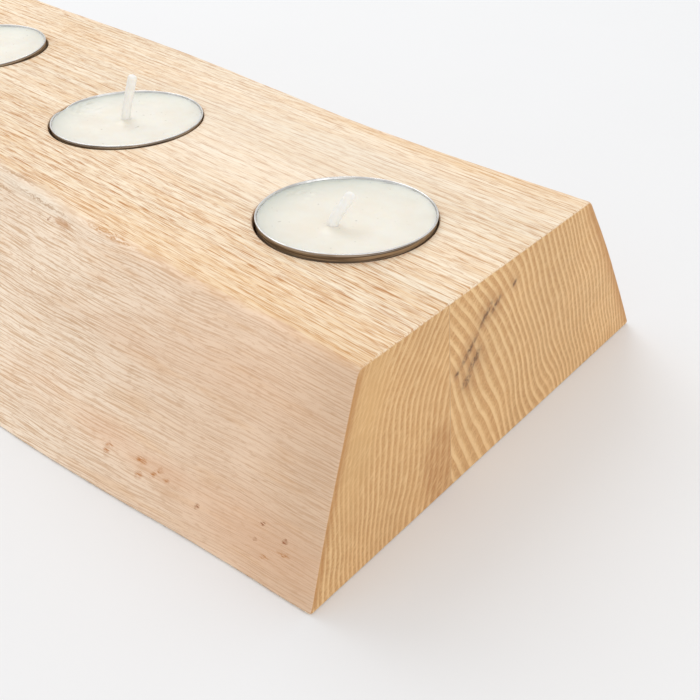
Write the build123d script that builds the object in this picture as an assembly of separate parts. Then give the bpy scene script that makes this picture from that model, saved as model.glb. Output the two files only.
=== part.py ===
"""Advent candle holder: a live-edge block of two edge-glued boards with four tealights in drilled sockets.

Millimetres. +X runs along the row to the cut end that shows, -Y faces the front live edge, +Z is up.
The origin is on the underside, below the middle of the row of tealights.
"""
import os
from math import cos, radians, sin, tan

from build123d import *

# Row of tealights
tealight_count = 4
tealight_pitch = 78.0
end_margin = 36.5
row_wander = 3.5

# Block of two boards: reach is measured from the row to an edge, spread from a top edge to the bottom edge
block_height = 41.5
front_reach = 37.5
rear_reach = 40.0
front_spread = 26.0
rear_spread = 24.5
front_bulge = 0.8
rear_bulge = 1.6
edge_wave = 5.0
arris_radius = 1.0
seam_setback = 11.5
glue_thickness = 0.2

# Cut ends: the end that shows is sawn a little out of square and out of plumb
end_lean_angle = 4.0
near_skew_angle = -5.5
far_skew_angle = 0.0

# Tealight cup
cup_diameter = 38.0
cup_height = 16.0
cup_wall = 0.25
cup_draft = 0.5
rim_bead = 0.6
bead_sides = 8
base_corner = 1.5
panel_diameter = 16.0
panel_rise = 0.5

# Drilled sockets
socket_clearance = 0.2
mouth_ease = 0.2
rim_proud = 0.5
drill_point_diameter = 4.0
drill_point_depth = 2.0

# Wax
wax_edge_drop = 0.6
wax_dish = 1.4
wax_creep = 1.2

# Wick and its sustainer
wick_diameter = 2.0
wick_free_length = 12.0
wick_bend_radius = 6.0
wick_offset = 1.6
sustainer_diameter = 12.5
sustainer_thickness = 0.3
neck_wall = 0.4
neck_height = 3.5
fit_clearance = 0.05

# Allowance by which cutting shapes and blanks run past the faces that they make
overrun = 8.0

# Wander of the edges at even stations from the far end to the near end, as shares of edge_wave
front_wave_shares = (-0.28, -0.07, 0.04, -0.17, -0.45, -0.24, 0.12, -0.01, -0.06)
rear_wave_shares = (-0.26, 0.15, 0.27, 0.31, 0.30, -0.17, -0.65, -0.37, -0.29)
# Spread of the sloping sides at the same stations, as shares of front_spread and rear_spread
front_spread_shares = (0.73, 0.91, 1.03, 1.12, 1.19, 1.15, 0.98, 0.78, 0.62)
rear_spread_shares = (0.94, 0.98, 1.04, 1.06, 1.00, 0.94, 0.92, 0.96, 1.00)

# Tealights from the near end: how far each hole was drilled off the row, as shares of row_wander
row_wander_shares = (0.0, 0.0, 0.7, 0.3)
# Each wick leans by an angle from upright, towards a heading measured from +X, and has its own length,
# as a share of wick_free_length; its foot set wick_offset away from the middle, towards another heading
wick_lean_angles = (33.0, 18.0, 11.0, 6.0)
wick_headings = (30.0, 62.0, 250.0, 40.0)
wick_length_shares = (0.55, 0.93, 0.90, 0.85)
wick_offset_headings = (265.0, 160.0, 60.0, 215.0)

row_length = (tealight_count - 1) * tealight_pitch
block_length = row_length + 2 * end_margin
cup_radius = cup_diameter / 2
socket_radius = cup_radius + socket_clearance
socket_depth = cup_height - rim_proud
socket_floor = block_height - socket_depth
wick_radius = wick_diameter / 2
panel_radius = panel_diameter / 2


def own_value(values, index):
    """One tealight's own value; a longer row goes through the values again."""
    return values[index % len(values)]


def row_place(index):
    """Centre of one socket, counted from the near end."""
    return row_length / 2 - index * tealight_pitch, row_wander * own_value(row_wander_shares, index)


def board_section(place, front_wave, rear_wave, front_share, rear_share):
    """Cross-section of the uncut block at one station: flat top and bottom, gently swollen sides."""
    front_top = -front_reach - front_wave * edge_wave
    rear_top = rear_reach + rear_wave * edge_wave
    front_run = front_spread * front_share
    rear_run = rear_spread * rear_share
    past = overrun / block_height

    def side_point(top, run, height_share):
        return top + run * (1 - height_share), height_share * block_height

    middle_share = 1 / 2
    front_low = side_point(front_top, -front_run, -past)
    front_high = side_point(front_top, -front_run, 1 + past)
    front_middle = side_point(front_top, -front_run, middle_share)
    rear_low = side_point(rear_top, rear_run, -past)
    rear_high = side_point(rear_top, rear_run, 1 + past)
    rear_middle = side_point(rear_top, rear_run, middle_share)
    outline = [
        Line(rear_low, front_low),
        ThreePointArc(front_low, (front_middle[0] - front_bulge, front_middle[1]), front_high),
        Line(front_high, rear_high),
        ThreePointArc(rear_high, (rear_middle[0] + rear_bulge, rear_middle[1]), rear_low),
    ]
    station = Plane(origin=(place, 0, 0), x_dir=(0, 1, 0), z_dir=(1, 0, 0))
    return station * make_face(outline)


def end_plane(side, skew_angle):
    """Saw cut at one end: side is 1 at the near end and -1 at the far end."""
    top_of_end = (side * block_length / 2, 0, block_height)
    outward = Vector(side, -side * tan(radians(skew_angle)), tan(radians(end_lean_angle)))
    return Plane(origin=top_of_end, z_dir=outward.normalized())


def make_block():
    """Both boards as one blank: a loft along the live edges, planed flat, sawn at the ends, arrises eased."""
    last_station = len(front_wave_shares) - 1
    half_blank = block_length / 2 + 2 * overrun
    sections = []
    shares = zip(front_wave_shares, rear_wave_shares, front_spread_shares, rear_spread_shares)
    for station, station_shares in enumerate(shares):
        place = half_blank * (2 * station / last_station - 1)
        sections.append(board_section(place, *station_shares))
    block = loft(sections)
    block = split(block, bisect_by=Plane.XY, keep=Keep.TOP)
    block = split(block, bisect_by=Plane.XY.offset(block_height), keep=Keep.BOTTOM)
    block = split(block, bisect_by=end_plane(1, near_skew_angle), keep=Keep.BOTTOM)
    block = split(block, bisect_by=end_plane(-1, far_skew_angle), keep=Keep.BOTTOM)
    return fillet(block.edges(), radius=arris_radius)


def turned(outline):
    """Solid of revolution about Z from a closed half-profile drawn as (radius, height)."""
    return revolve(Plane.XZ * make_face(outline), axis=Axis.Z)


def make_sockets():
    """Flat-floored drilled holes with an eased mouth and the mark of the bit's centre point in the floor."""
    point_radius = drill_point_diameter / 2
    mouth_radius = socket_radius + mouth_ease
    above = block_height + overrun
    hole = turned(
        Polyline(
            (0, socket_floor - drill_point_depth),
            (point_radius, socket_floor),
            (socket_radius, socket_floor),
            (socket_radius, block_height - mouth_ease),
            (mouth_radius, block_height),
            (mouth_radius, above),
            (0, above),
            close=True,
        )
    )
    return [Pos(*row_place(index), 0) * hole for index in range(tealight_count)]


def make_boards():
    """Saw the drilled block at the seam: front board, rear board and the film of glue between them."""
    block = make_block() - make_sockets()
    seam = Plane.XZ.offset(seam_setback)
    front_face = seam.offset(glue_thickness / 2)
    rear_face = seam.offset(-glue_thickness / 2)
    front = split(block, bisect_by=front_face, keep=Keep.TOP)
    rear = split(block, bisect_by=rear_face, keep=Keep.BOTTOM)
    film = split(split(block, bisect_by=front_face, keep=Keep.BOTTOM), bisect_by=rear_face, keep=Keep.TOP)
    return {"front_board": front, "rear_board": rear, "glue_line": film}


rim_bead_radius = rim_bead / 2
wall_top_radius = cup_radius - rim_bead + cup_wall
wall_foot_radius = wall_top_radius - cup_draft
bead_height = cup_height - rim_bead_radius


def wall_radius(height, inset):
    """Radius of the tapered cup wall at a height, measured inset inside its outer face."""
    return wall_foot_radius + cup_draft * height / bead_height - inset


def make_cup():
    """Drawn aluminium cup: raised base panel, broken foot corner, tapered wall and rolled rim bead."""
    inner_corner = base_corner - cup_wall
    foot_outer = wall_radius(base_corner, 0)
    foot_inner = foot_outer - cup_wall
    shoulder = panel_radius + panel_rise
    panel_top = panel_rise + cup_wall
    outline = Polyline(
        (0, panel_rise),
        (panel_radius, panel_rise),
        (shoulder, 0),
        (foot_outer - base_corner, 0),
        (foot_outer, base_corner),
        (wall_top_radius, bead_height),
        (wall_top_radius - cup_wall, bead_height),
        (foot_inner, base_corner),
        (foot_inner - inner_corner, cup_wall),
        (shoulder, cup_wall),
        (panel_radius, panel_top),
        (0, panel_top),
        close=True,
    )
    flats_up_angle = 180 / bead_sides
    bead_section = RegularPolygon(rim_bead_radius, bead_sides, major_radius=False, rotation=flats_up_angle)
    bead = Pos(cup_radius - rim_bead_radius, bead_height) * bead_section
    return revolve(Plane.XZ * (make_face(outline) + bead), axis=Axis.Z)


sustainer_base = panel_rise + cup_wall
sustainer_radius = sustainer_diameter / 2
neck_inner_radius = wick_radius + fit_clearance
neck_outer_radius = neck_inner_radius + neck_wall
wax_edge_height = cup_height - wax_edge_drop
wax_centre_height = wax_edge_height - wax_dish


def make_sustainer():
    """Pressed disc with a short neck that grips the wick's foot, standing on the cup's raised panel."""
    disc_top = sustainer_base + sustainer_thickness
    neck_top = sustainer_base + neck_height
    return turned(
        Polyline(
            (neck_inner_radius, sustainer_base),
            (sustainer_radius, sustainer_base),
            (sustainer_radius, disc_top),
            (neck_outer_radius, disc_top),
            (neck_outer_radius, neck_top),
            (neck_inner_radius, neck_top),
            close=True,
        )
    )


def make_wax():
    """Poured wax: fills the cup, dished on top and creeping up the wall."""
    wall_foot = wall_radius(base_corner, cup_wall + fit_clearance)
    wall_top = wall_radius(wax_edge_height, cup_wall + fit_clearance)
    dish_rim = wall_top - wax_creep
    dish_rim_height = wax_edge_height - wax_dish / 2
    middle_radius = dish_rim / 2
    dish_share = 1 / 4
    middle_height = wax_centre_height + dish_share * (dish_rim_height - wax_centre_height)
    return turned(
        Polyline(
            (0, wax_centre_height),
            (0, sustainer_base),
            (panel_radius, sustainer_base),
            (panel_radius + panel_rise, cup_wall),
            (wall_foot - base_corner, cup_wall),
            (wall_foot, cup_wall + base_corner),
            (wall_top, wax_edge_height),
            (dish_rim, dish_rim_height),
            (middle_radius, middle_height),
            close=True,
        )
    )


def make_wax_collar():
    """Small cone of wax that crept up the wick."""
    return turned(
        Polyline(
            (0, wax_centre_height - wax_creep),
            (neck_inner_radius + wax_creep, wax_centre_height - wax_creep),
            (neck_inner_radius + wax_creep, wax_centre_height),
            (neck_inner_radius, wax_centre_height + wax_creep / 2),
            (0, wax_centre_height + wax_creep / 2),
            close=True,
        )
    )


def make_wax_pocket():
    """Hollow that the sustainer and the wick leave in the wax."""
    disc_top = sustainer_base + sustainer_thickness
    pocket_radius = sustainer_radius + fit_clearance
    pocket_neck_radius = neck_outer_radius + fit_clearance
    neck_top = sustainer_base + neck_height
    return turned(
        Polyline(
            (0, sustainer_base),
            (pocket_radius, sustainer_base),
            (pocket_radius, disc_top),
            (pocket_neck_radius, disc_top),
            (pocket_neck_radius, neck_top),
            (neck_inner_radius, neck_top),
            (neck_inner_radius, cup_height),
            (0, cup_height),
            close=True,
        )
    )


def make_wick(lean_angle, heading, free_length):
    """Waxed cotton wick: upright through the neck and the wax, then bent over towards its heading."""
    wax_top = wax_centre_height + wax_creep
    lean = radians(lean_angle)
    bend_end = (wick_bend_radius * (1 - cos(lean)), wax_top + wick_bend_radius * sin(lean))
    bend_middle = (wick_bend_radius * (1 - cos(lean / 2)), wax_top + wick_bend_radius * sin(lean / 2))
    tip_run = free_length - wick_bend_radius * lean
    tip = (bend_end[0] + tip_run * sin(lean), bend_end[1] + tip_run * cos(lean))
    route = [
        Line((0, sustainer_base), (0, wax_top)),
        ThreePointArc((0, wax_top), bend_middle, bend_end),
        Line(bend_end, tip),
    ]
    foot = Plane.XY.offset(sustainer_base) * Circle(wick_radius)
    wick = sweep(foot, path=Plane.XZ * Wire(route))
    return Rot(0, 0, heading) * wick


def make_tealight(index):
    """The four pieces of one tealight, with the cup standing on the plane z = 0."""
    offset_heading = radians(own_value(wick_offset_headings, index))
    set_off = Pos(wick_offset * cos(offset_heading), wick_offset * sin(offset_heading), 0)
    free_length = wick_free_length * own_value(wick_length_shares, index)
    wick = make_wick(own_value(wick_lean_angles, index), own_value(wick_headings, index), free_length)
    return {
        "candle_cup": make_cup(),
        "wax_fill": make_wax() + set_off * make_wax_collar() - set_off * make_wax_pocket(),
        "wick": set_off * wick,
        "wick_sustainer": set_off * make_sustainer(),
    }


def make_nodes():
    """Every named piece in its place."""
    nodes = make_boards()
    for index in range(tealight_count):
        along, across = row_place(index)
        for name, piece in make_tealight(index).items():
            nodes[f"{name}_{index + 1}"] = Pos(along, across, socket_floor) * piece
    return nodes


os.makedirs("parts", exist_ok=True)
for node_name, node in make_nodes().items():
    export_step(node, f"parts/{node_name}.step")
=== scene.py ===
import math

import bmesh
import bpy
import numpy as np
from mathutils import Matrix, Quaternion, Vector, noise
from mathutils.bvhtree import BVHTree


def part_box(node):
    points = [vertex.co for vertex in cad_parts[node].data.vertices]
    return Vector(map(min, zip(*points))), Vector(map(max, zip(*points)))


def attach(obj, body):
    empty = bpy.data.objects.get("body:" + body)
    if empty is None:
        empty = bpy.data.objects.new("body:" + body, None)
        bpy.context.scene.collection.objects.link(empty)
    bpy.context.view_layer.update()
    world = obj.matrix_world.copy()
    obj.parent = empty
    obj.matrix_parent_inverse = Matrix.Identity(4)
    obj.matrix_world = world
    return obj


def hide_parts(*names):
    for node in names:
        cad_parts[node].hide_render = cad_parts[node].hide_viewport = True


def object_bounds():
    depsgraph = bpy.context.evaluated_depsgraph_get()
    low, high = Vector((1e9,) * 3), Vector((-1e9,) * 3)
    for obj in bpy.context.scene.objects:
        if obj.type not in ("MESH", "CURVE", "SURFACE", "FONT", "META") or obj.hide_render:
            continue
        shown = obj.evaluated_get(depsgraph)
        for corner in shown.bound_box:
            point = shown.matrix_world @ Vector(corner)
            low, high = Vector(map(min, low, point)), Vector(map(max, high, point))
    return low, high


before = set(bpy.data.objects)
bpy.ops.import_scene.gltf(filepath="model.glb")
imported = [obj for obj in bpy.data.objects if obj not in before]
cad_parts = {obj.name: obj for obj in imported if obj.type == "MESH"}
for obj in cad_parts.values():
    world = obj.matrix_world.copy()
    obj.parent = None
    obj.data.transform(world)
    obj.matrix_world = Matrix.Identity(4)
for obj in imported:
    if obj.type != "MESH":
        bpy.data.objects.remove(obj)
cad_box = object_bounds()
scene = bpy.context.scene

# Ash boards: two planks of a light, ring-porous wood, glued edge to edge. Top and underside are planed and
# the ends sawn, while the outer sides keep the tree's own wavy surface, cleaned of bark and sanded.
mm = 0.001
tealight_numbers = (1, 2, 3, 4)
station_step = 1.0 * mm
side_points = 104
side_smoothing = 13
foot_arris = 0.8 * mm
crown_arris = 1.4 * mm
crown_wander = 0.5 * mm
wander_length = 23 * mm
end_arris = 0.6 * mm
far_off = 0.3
block_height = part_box("front_board")[1].z


def solid_surface(node):
    """Search tree over a solid's faces, for reading its shape."""
    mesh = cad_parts[node].data
    return BVHTree.FromPolygons([v.co for v in mesh.vertices], [p.vertices for p in mesh.polygons])


def read_live_side(node, outward):
    """Live side of a board by place along the row and height, read off its solid and smoothed."""
    surface = solid_surface(node)
    low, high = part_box(node)
    end_reach = 12 * mm
    low_share, high_share, height_count = 0.15, 0.85, 7
    places = np.arange(low.x + end_reach, high.x - end_reach, station_step)
    heights = np.linspace(low_share, high_share, height_count) * block_height
    reach = []
    for height in heights:
        starts = [Vector((place, outward * far_off, height)) for place in places]
        reach.append([surface.ray_cast(start, Vector((0, -outward, 0)))[0].y for start in starts])
    curves = np.polyfit(heights, np.array(reach), 2)
    margin = 2 * side_smoothing
    curves = np.pad(curves, ((0, 0), (margin, margin)), mode="reflect", reflect_type="odd")
    places = np.pad(places, margin, mode="reflect", reflect_type="odd")
    window = np.hanning(side_smoothing + 2)
    window = window / window.sum()
    curves = np.array([np.convolve(curve, window, mode="same") for curve in curves])

    def side(place, height):
        bend, slope, foot = [np.interp(place, places, curve) for curve in curves]
        return (bend * height + slope) * height + foot

    return side


def read_sawn_end(side):
    """Plane of a sawn end as a function of y and z, through three points met on the rear board."""
    surface = solid_surface("rear_board")
    low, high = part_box("rear_board")
    spot_shares = [(0.1, 0.1), (0.5, 0.1), (0.1, 0.8)]
    rows = []
    met = []
    for across_share, height_share in spot_shares:
        y = low.y + across_share * (high.y - low.y)
        z = height_share * block_height
        met.append(surface.ray_cast(Vector((side * far_off, y, z)), Vector((-side, 0, 0)))[0].x)
        rows.append((1, y, z))
    start, per_y, per_z = np.linalg.solve(np.array(rows), np.array(met))
    return lambda y, z: start + per_y * y + per_z * z


far_end = read_sawn_end(-1)
near_end = read_sawn_end(1)


def side_relief(place, height_share, seed):
    """Depth of the live side about its general line: long swells, soft lengthwise folds and fine ripples."""
    swell_depth, fold_depth, ripple_depth = 0.55 * mm, 0.09 * mm, 0.02 * mm
    swell_length, fold_length, ripple_length = 34 * mm, 26 * mm, 17 * mm
    swells, folds, ripples = 3.0, 11.0, 34.0
    depth = 0
    for deep, length, count in (
        (swell_depth, swell_length, swells),
        (fold_depth, fold_length, folds),
        (ripple_depth, ripple_length, ripples),
    ):
        value = noise.noise(Vector((place / length, height_share * count, seed + count)))
        depth += deep * value / 2
    return depth


def knot_relief(place, height_share):
    """Torn hollow of a small knot under the crown of the front side, with folds round it."""
    knot_place, knot_length, knot_depth = 72 * mm, 5 * mm, 0.9 * mm
    knot_height_share, knot_width_share = 0.93, 0.035
    torn_length, torn_depth, torn_grain = 22 * mm, 0.4 * mm, 5 * mm
    torn_width_share, torn_folds, torn_seed = 0.12, 46.0, 7.0
    along = (place - knot_place) / knot_length
    up = (height_share - knot_height_share) / knot_width_share
    hollow = knot_depth * math.exp(-along * along - up * up)
    along = (place - knot_place + torn_length / 2) / torn_length
    up = (height_share - 1) / torn_width_share
    fold = noise.noise(Vector((place / torn_grain, height_share * torn_folds, torn_seed)))
    return hollow + torn_depth * math.exp(-along * along - up * up) * (0.5 + 0.5 * fold)


def swollen(side):
    """The rear side standing out past its general line on the near half of the block, most at the crown."""
    swell_place, swell_length, swell_reach = 90 * mm, 75 * mm, 1.5 * mm
    foot_share = 0.35

    def swollen_side(place, height):
        reach = swell_reach * np.exp(-((place - swell_place) / swell_length) ** 2)
        return side(place, height) + reach * (foot_share + (1 - foot_share) * height / block_height)

    return swollen_side


def corner_run(start, corner, finish, count):
    """Points of a softly eased corner, from start round to finish, for every station at once."""
    share = np.linspace(0, 1, count + 2)[1:-1]
    start_part = (1 - share) ** 2
    corner_part = 2 * share * (1 - share)
    return np.outer(start, start_part) + np.outer(corner, corner_part) + np.outer(finish, share ** 2)


def straight_run(start, finish, shares):
    """Points at these shares of the way from start to finish, for every station at once."""
    return np.outer(start, 1 - shares) + np.outer(finish, shares)


def board_outlines(outward, seam, side, places, seed):
    """Cross-sections of a board (y, z and live-edge share), from the seam's foot round to the seam again."""
    count = len(places)
    level = np.zeros(count)
    top = np.full(count, block_height)
    seam_line = np.full(count, seam)
    wander = [noise.noise(Vector((place / wander_length, seed, 0))) for place in places]
    crown = crown_arris + crown_wander * np.array(wander)
    foot_y = side(places, 0)
    crown_y = side(places, block_height)
    side_start = side(places, foot_arris)
    side_end = side(places, top - crown)
    run_shares = np.linspace(0, 1, side_points)
    side_z = straight_run(level + foot_arris, top - crown, run_shares)
    side_y = side(np.repeat(places[:, None], side_points, axis=1), side_z)
    bottom_count, top_count, seam_count, foot_count, crown_count = 10, 26, 10, 5, 7
    top_crowding, crown_live_share, edge_hold_share = 1.6, 0.45, 0.25
    bottom_shares = np.linspace(0, 1, bottom_count)
    top_shares = np.linspace(0, 1, top_count) ** top_crowding
    seam_shares = np.linspace(0, 1, seam_count)[1:-1]
    flat = crown_y - outward * crown
    y_runs = [
        straight_run(seam_line, foot_y - outward * foot_arris, bottom_shares),
        corner_run(foot_y - outward * foot_arris, foot_y, side_start, foot_count),
        side_y,
        corner_run(side_end, crown_y, flat, crown_count),
        straight_run(flat, seam_line, top_shares),
        straight_run(seam_line, seam_line, seam_shares),
    ]
    z_runs = [
        straight_run(level, level, bottom_shares),
        corner_run(level, level, level + foot_arris, foot_count),
        side_z,
        corner_run(top - crown, top, top, crown_count),
        straight_run(top, top, top_shares),
        straight_run(top, level, seam_shares),
    ]
    fade_width = 2.0 * mm
    crown_fade = np.linspace(1.0, crown_live_share, crown_count + 2)[1:-1]
    top_y = y_runs[4]
    top_fade = np.clip(crown_live_share * (1 - np.abs(top_y - flat[:, None]) / fade_width), 0, 1)
    live_runs = [
        np.zeros((count, len(bottom_shares))),
        np.tile(np.linspace(0, 1, foot_count), (count, 1)),
        np.ones((count, side_points)),
        np.tile(crown_fade, (count, 1)),
        top_fade,
        np.zeros((count, len(seam_shares))),
    ]
    y, z, live = [np.hstack(runs) for runs in (y_runs, z_runs, live_runs)]
    first = len(bottom_shares) + foot_count
    for station, place in enumerate(places):
        for point in range(first, first + side_points):
            height_share = z[station, point] / block_height
            depth = side_relief(place, height_share, seed)
            if outward < 0:
                depth += knot_relief(place, height_share)
            edge_share = (point - first + 0.5) / side_points
            hold = edge_hold_share + (1 - edge_hold_share) * math.sin(math.pi * edge_share) ** 0.5
            y[station, point] -= outward * depth * hold
    return y, z, live


def board_mesh(name, outward, seam, side, seed):
    """Closed mesh of an undrilled board, with an attribute that marks its live side."""
    live_middle = side(0, block_height / 2)
    start = far_end(live_middle, block_height / 2)
    finish = near_end(live_middle, block_height / 2)
    count = round((finish - start) / station_step)
    shares = np.linspace(0, 1, count)
    places = start + end_arris + shares * (finish - start - 2 * end_arris)
    y, z, live = board_outlines(outward, seam, side, places, seed)
    body_start = far_end(y, z) + end_arris
    body_finish = near_end(y, z) - end_arris
    x = body_start + shares[:, None] * (body_finish - body_start)
    middle = block_height / 2
    arris_count = 5
    turns = np.linspace(0, math.pi / 2, arris_count + 1)[1:]
    rims = [(end_arris * (1 - math.cos(turn)), 0, end_arris * (1 - math.sin(turn)), 1) for turn in turns]
    # Past the arris the live side's stain runs a little way in over the sawn face and fades.
    stain_shares = ((0.01, 0.85), (0.03, 0.45), (0.075, 0))
    rims += [(end_arris, flat_share, 0, keep) for flat_share, keep in stain_shares]

    def end_rings(outline, plane, inward):
        """Rings that ease an end's arris and close in over the sawn face."""
        outline_y, outline_z, outline_live = outline
        across = np.abs(outline_y - seam).max()
        rings = []
        for inset, flat_share, depth, keep in rims:
            ring_y = seam + (outline_y - seam) * (1 - flat_share - inset / across)
            ring_z = middle + (outline_z - middle) * (1 - flat_share - inset / middle)
            ring_x = plane(ring_y, ring_z) + inward * depth
            rings.append((np.stack([ring_x, ring_y, ring_z], axis=1), outline_live * keep))
        return rings

    far_rings = end_rings((y[0], z[0], live[0]), far_end, 1)[::-1]
    near_rings = end_rings((y[-1], z[-1], live[-1]), near_end, -1)
    body = [(np.stack([x[i], y[i], z[i]], axis=1), live[i]) for i in range(count)]
    rings = far_rings + body + near_rings
    ring_size = y.shape[1]
    low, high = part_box(name)
    points = np.clip(np.concatenate([ring[0] for ring in rings]), np.array(low), np.array(high))
    faces = []
    for ring in range(len(rings) - 1):
        base = ring * ring_size
        next_base = base + ring_size
        for point in range(ring_size):
            following = (point + 1) % ring_size
            faces.append((base + point, base + following, next_base + following, next_base + point))
    last = (len(rings) - 1) * ring_size
    faces.append(tuple(reversed(range(ring_size))))
    faces.append(tuple(range(last, last + ring_size)))
    # The front board's outline runs the other way round, so its faces are turned to look outward.
    if outward < 0:
        faces = [tuple(reversed(face)) for face in faces]
    mesh = bpy.data.meshes.new(name)
    mesh.from_pydata(points.tolist(), [], faces)
    mark = mesh.attributes.new("live_edge", "FLOAT", "POINT")
    mark.data.foreach_set("value", np.concatenate([ring[1] for ring in rings]).astype(np.float32))
    return mesh


def show(name, mesh):
    """New object at the origin with this mesh or curve."""
    piece = bpy.data.objects.new(name, mesh)
    scene.collection.objects.link(piece)
    return piece


def lathe(name, outline, sides, shape=None):
    """Mesh turned about the Z axis from (radius, height) points; shape may move each point by its angle."""
    points = []
    rings = []
    for radius, height in outline:
        ring = []
        for step in range(sides if radius > 0 else 1):
            angle = 2 * math.pi * step / sides
            reach, level = shape(angle, radius, height) if shape else (radius, height)
            ring.append(len(points))
            points.append((reach * math.cos(angle), reach * math.sin(angle), level))
        rings.append(ring)
    if outline[0][0] > 0 and outline[-1][0] > 0:
        rings.append(rings[0])
    faces = []
    for lower, upper in zip(rings, rings[1:]):
        for step in range(sides):
            following = (step + 1) % sides
            corners = [lower[step % len(lower)], lower[following % len(lower)]]
            corners += [upper[following % len(upper)], upper[step % len(upper)]]
            faces.append(tuple(dict.fromkeys(corners)))
    mesh = bpy.data.meshes.new(name)
    mesh.from_pydata(points, [], faces)
    shell = bmesh.new()
    shell.from_mesh(mesh)
    bmesh.ops.recalc_face_normals(shell, faces=shell.faces)
    shell.to_mesh(mesh)
    shell.free()
    return mesh


def wire(tree, kind, inputs, **settings):
    """Adds a node with these settings; inputs maps its sockets to values or to other nodes' outputs."""
    node = tree.nodes.new(kind)
    for name, value in settings.items():
        setattr(node, name, value)
    for socket, value in inputs.items():
        if isinstance(value, bpy.types.NodeSocket):
            tree.links.new(value, node.inputs[socket])
        else:
            node.inputs[socket].default_value = value
    return node


def new_tree(name, inputs):
    """Geometry Nodes tree with a geometry input and output and these named inputs, and its two end nodes."""
    tree = bpy.data.node_groups.new(name, "GeometryNodeTree")
    tree.interface.new_socket("Geometry", in_out="INPUT", socket_type="NodeSocketGeometry")
    for label, kind in inputs.items():
        tree.interface.new_socket(label, in_out="INPUT", socket_type=kind)
    tree.interface.new_socket("Geometry", in_out="OUTPUT", socket_type="NodeSocketGeometry")
    return tree, tree.nodes.new("NodeGroupInput"), tree.nodes.new("NodeGroupOutput")


def grow(piece, tree, values):
    """Runs a tree on a piece with these inputs and gives the result as a plain mesh."""
    modifier = piece.modifiers.new(tree.name, "NODES")
    modifier.node_group = tree
    for item in tree.interface.items_tree:
        if item.in_out == "INPUT" and item.name in values:
            modifier[item.identifier] = values[item.name]
    depsgraph = bpy.context.evaluated_depsgraph_get()
    mesh = bpy.data.meshes.new_from_object(piece.evaluated_get(depsgraph), depsgraph=depsgraph)
    piece.modifiers.remove(modifier)
    return mesh


def drill_tree():
    """Tree that cuts a socket into a board at every point of the tealight row and gives it its finish."""
    inputs = {"Cutter": "NodeSocketObject", "Row": "NodeSocketObject", "Finish": "NodeSocketMaterial"}
    tree, start, end = new_tree("drill_sockets", inputs)
    cutter = wire(tree, "GeometryNodeObjectInfo", {"Object": start.outputs["Cutter"]})
    row = wire(tree, "GeometryNodeObjectInfo", {"Object": start.outputs["Row"]})
    cutters = wire(
        tree,
        "GeometryNodeInstanceOnPoints",
        {"Points": row.outputs["Geometry"], "Instance": cutter.outputs["Geometry"]},
    )
    loose = wire(tree, "GeometryNodeRealizeInstances", {"Geometry": cutters.outputs[0]})
    drilled = wire(
        tree,
        "GeometryNodeMeshBoolean",
        {"Mesh 1": start.outputs["Geometry"], "Mesh 2": loose.outputs[0]},
        operation="DIFFERENCE",
        solver="EXACT",
    )
    whole = wire(tree, "GeometryNodeRealizeInstances", {"Geometry": drilled.outputs["Mesh"]})
    dressed = wire(
        tree,
        "GeometryNodeSetMaterial",
        {"Geometry": whole.outputs[0], "Material": start.outputs["Finish"]},
    )
    tree.links.new(dressed.outputs[0], end.inputs[0])
    return tree


def cup_place(number):
    """Middle of one cup's foot."""
    low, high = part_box(f"candle_cup_{number}")
    return Vector(((low.x + high.x) / 2, (low.y + high.y) / 2, low.z))


# Sockets: round, flat-bottomed holes for the tealights, drilled across the seam with a bit that leaves a
# small point in the floor. Their mouths are eased, and the cups fit with a little play.
socket_clearance = 0.32 * mm
mouth_ease = 0.2 * mm
point_radius = 2.0 * mm
point_depth = 2.0 * mm
cutter_overrun = 4.0 * mm
cup_low, cup_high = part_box("candle_cup_1")
cup_radius = (cup_high.x - cup_low.x) / 2
socket_radius = cup_radius + socket_clearance
socket_depth = block_height - cup_low.z
mouth_radius = socket_radius + mouth_ease
cutter_top = socket_depth + cutter_overrun
cutter_sides = 144
cutter_outline = [
    (0, -point_depth),
    (point_radius, 0),
    (socket_radius, 0),
    (socket_radius, socket_depth - mouth_ease),
    (mouth_radius, socket_depth),
    (mouth_radius, cutter_top),
    (0, cutter_top),
]
cutter = show("socket_cutter", lathe("socket_cutter", cutter_outline, cutter_sides))
row_mesh = bpy.data.meshes.new("tealight_row")
row_mesh.from_pydata([cup_place(number) for number in tealight_numbers], [], [])
row = show("tealight_row", row_mesh)


def maths(tree, operation, *values):
    """Result of one Math node."""
    return wire(tree, "ShaderNodeMath", dict(enumerate(values)), operation=operation).outputs[0]


def vector_maths(tree, operation, *values):
    """Result of one Vector Math node."""
    return wire(tree, "ShaderNodeVectorMath", dict(enumerate(values)), operation=operation).outputs["Vector"]


def scaled(tree, vector, factor):
    """Vector times a factor."""
    inputs = {0: vector, "Scale": factor}
    return wire(tree, "ShaderNodeVectorMath", inputs, operation="SCALE").outputs["Vector"]


def length_of(tree, vector):
    """Length of a vector."""
    return wire(tree, "ShaderNodeVectorMath", {0: vector}, operation="LENGTH").outputs["Value"]


def mix(tree, share, first, second, blend="MIX"):
    """Colour between two colours; the sockets of the colour mode are the sixth and seventh."""
    inputs = {0: share, 6: first, 7: second}
    return wire(tree, "ShaderNodeMix", inputs, data_type="RGBA", blend_type=blend).outputs[2]


def between(tree, value, low, high, low_result=0.0, high_result=1.0):
    """Smooth step of a value from low to high."""
    inputs = {0: value, 1: low, 2: high, 3: low_result, 4: high_result}
    return wire(tree, "ShaderNodeMapRange", inputs, interpolation_type="SMOOTHSTEP").outputs[0]


def colour(red, green, blue):
    """Colour as it looks on a screen, 0 to 255, turned into the light values that shaders take."""
    light = []
    for value in (red, green, blue):
        share = value / 255
        light.append((share + 0.055) ** 2.4 / 1.055 ** 2.4 if share > 0.04 else share / 12.92)
    return light + [1.0]


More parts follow.
